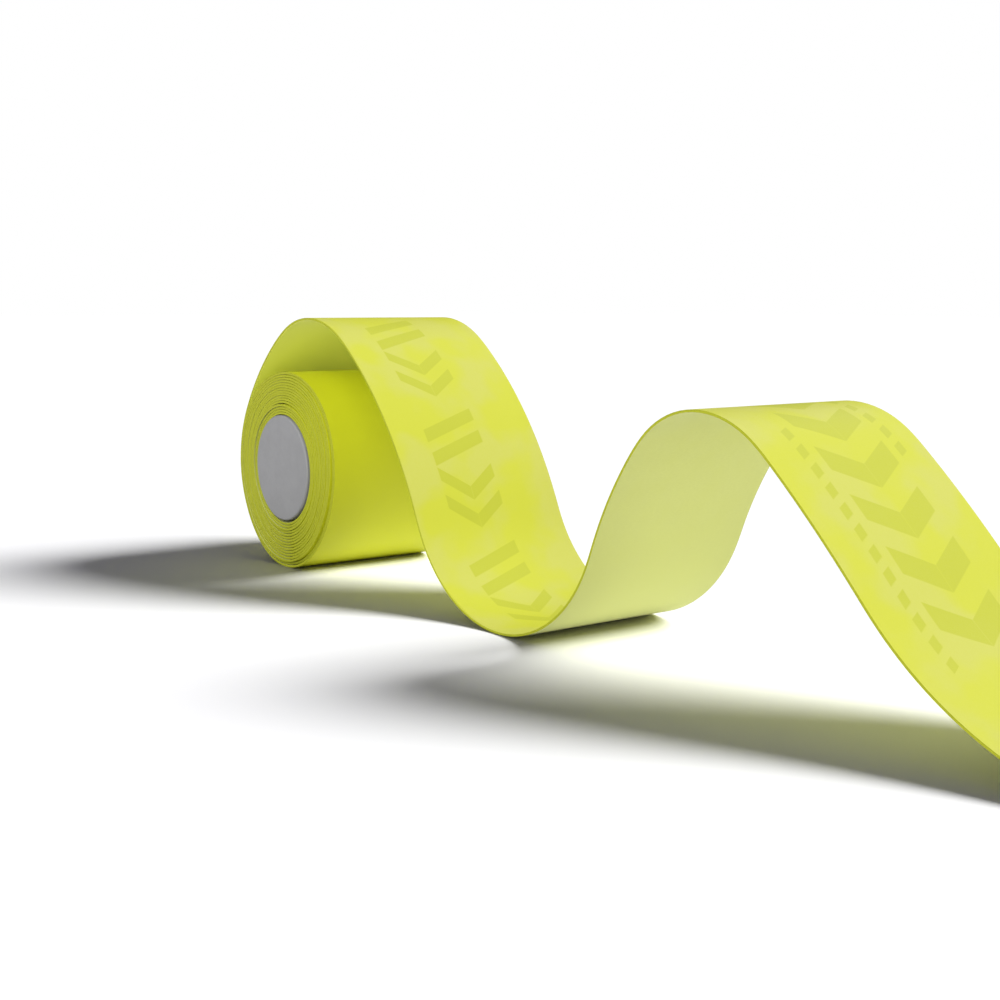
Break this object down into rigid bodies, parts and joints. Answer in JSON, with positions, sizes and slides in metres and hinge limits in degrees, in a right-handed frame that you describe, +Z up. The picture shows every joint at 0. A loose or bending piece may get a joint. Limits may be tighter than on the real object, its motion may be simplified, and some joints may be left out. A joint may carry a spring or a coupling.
{
  "type": "grip tape roll",
  "caption": "Roll of cushioned overgrip tape on a capped core, standing on edge with its free end in two loops and a tapered, adhesive-backed tip.",
  "frame": {"origin": "middle of the underside of the whole object, on the surface it stands on", "axes": "+Z up; the roll's axis lies along Y; the free end of the tape runs out along +X"},
  "size_m": [0.2228, 0.0256, 0.0399],
  "materials": {
    "wound_tape": "satin",
    "tape_face": "satin",
    "tape_backing": "matt",
    "adhesive": "satin",
    "liner_paper": "satin",
    "core_plastic": "satin",
    "cap_plastic": "satin"
  },
  "bodies": {
    "tape": {"wound_turns": "wound_tape", "tail_face": "tape_face", "tail_backing": "tape_backing", "adhesive_strip": "adhesive"},
    "core": {"core_tube": "core_plastic"},
    "front_cap": {"core_cap_front": "cap_plastic"},
    "back_cap": {"core_cap_back": "cap_plastic"},
    "liner": {"release_liner": "liner_paper"}
  },
  "joints": [
    {"name": "core_slide", "type": "slide", "parent": "tape", "child": "core", "axis": [0, 1, 0], "range_m": [-0.028, 0.028]},
    {"name": "front_cap_pull", "type": "slide", "parent": "core", "child": "front_cap", "axis": [0, -1, 0], "range_m": [0, 0.008]},
    {"name": "back_cap_pull", "type": "slide", "parent": "core", "child": "back_cap", "axis": [0, 1, 0], "range_m": [0, 0.008]},
    {"name": "liner_pull", "type": "slide", "parent": "tape", "child": "liner", "axis": [1, 0, 0], "range_m": [0, 0.045]}
  ]
}
